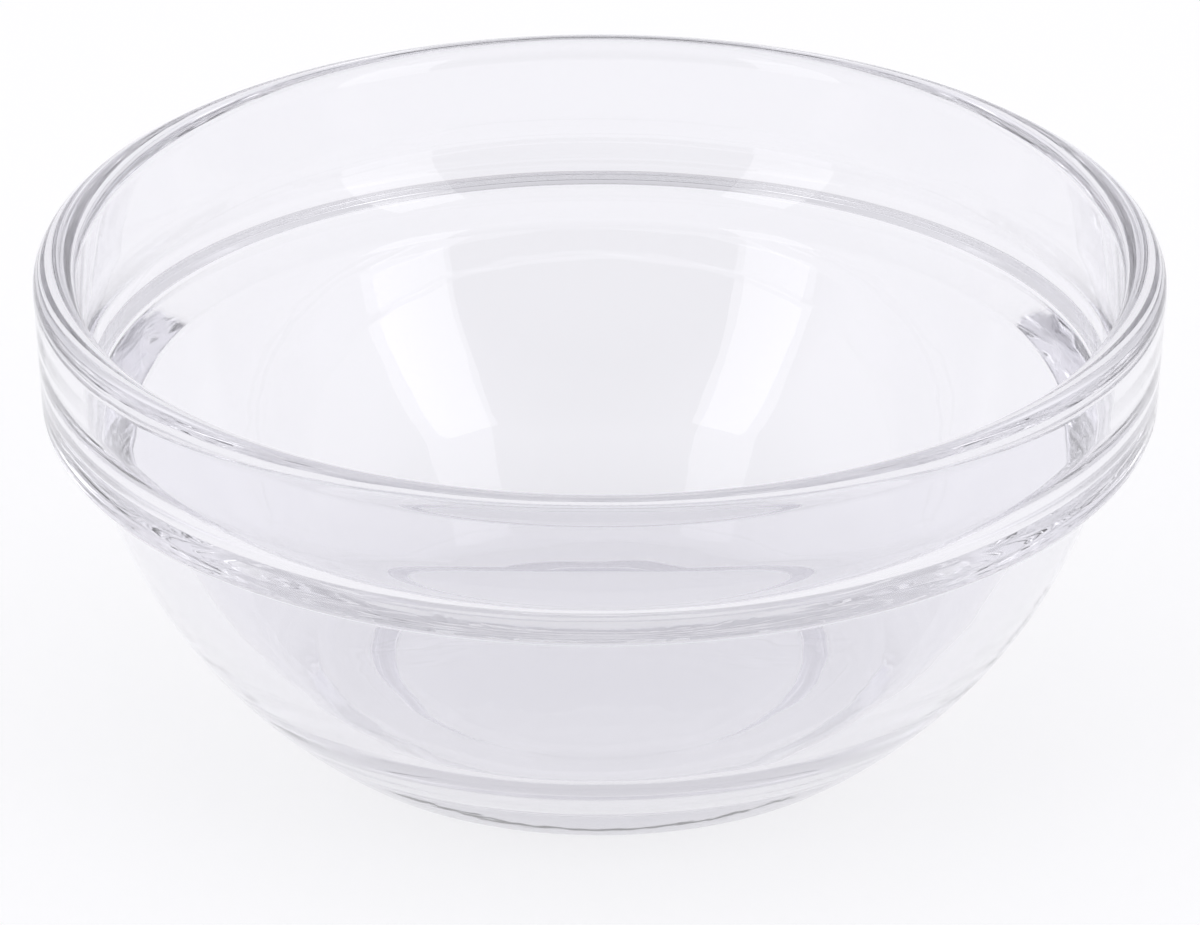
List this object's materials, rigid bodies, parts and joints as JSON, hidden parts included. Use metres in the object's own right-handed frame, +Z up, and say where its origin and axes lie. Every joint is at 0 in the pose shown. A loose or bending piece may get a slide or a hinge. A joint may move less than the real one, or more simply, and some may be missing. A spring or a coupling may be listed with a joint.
{
  "type": "prep bowl",
  "caption": "Clear pressed-glass prep bowl with a half-round rim, a collar over a flat stacking shoulder, a bowed wall and a recessed foot, for holding measured ingredients.",
  "frame": {"origin": "on the table, in the middle of the foot", "axes": "+Z up along the axis of the bowl, which is round, so +X and +Y are free; the picture's camera is on the -Y side"},
  "size_m": [0.12, 0.12, 0.0525],
  "materials": {
    "clear_glass": "clear, fire polished"
  },
  "bodies": {
    "root": {"glass_bowl": "clear_glass"}
  },
  "joints": []
}
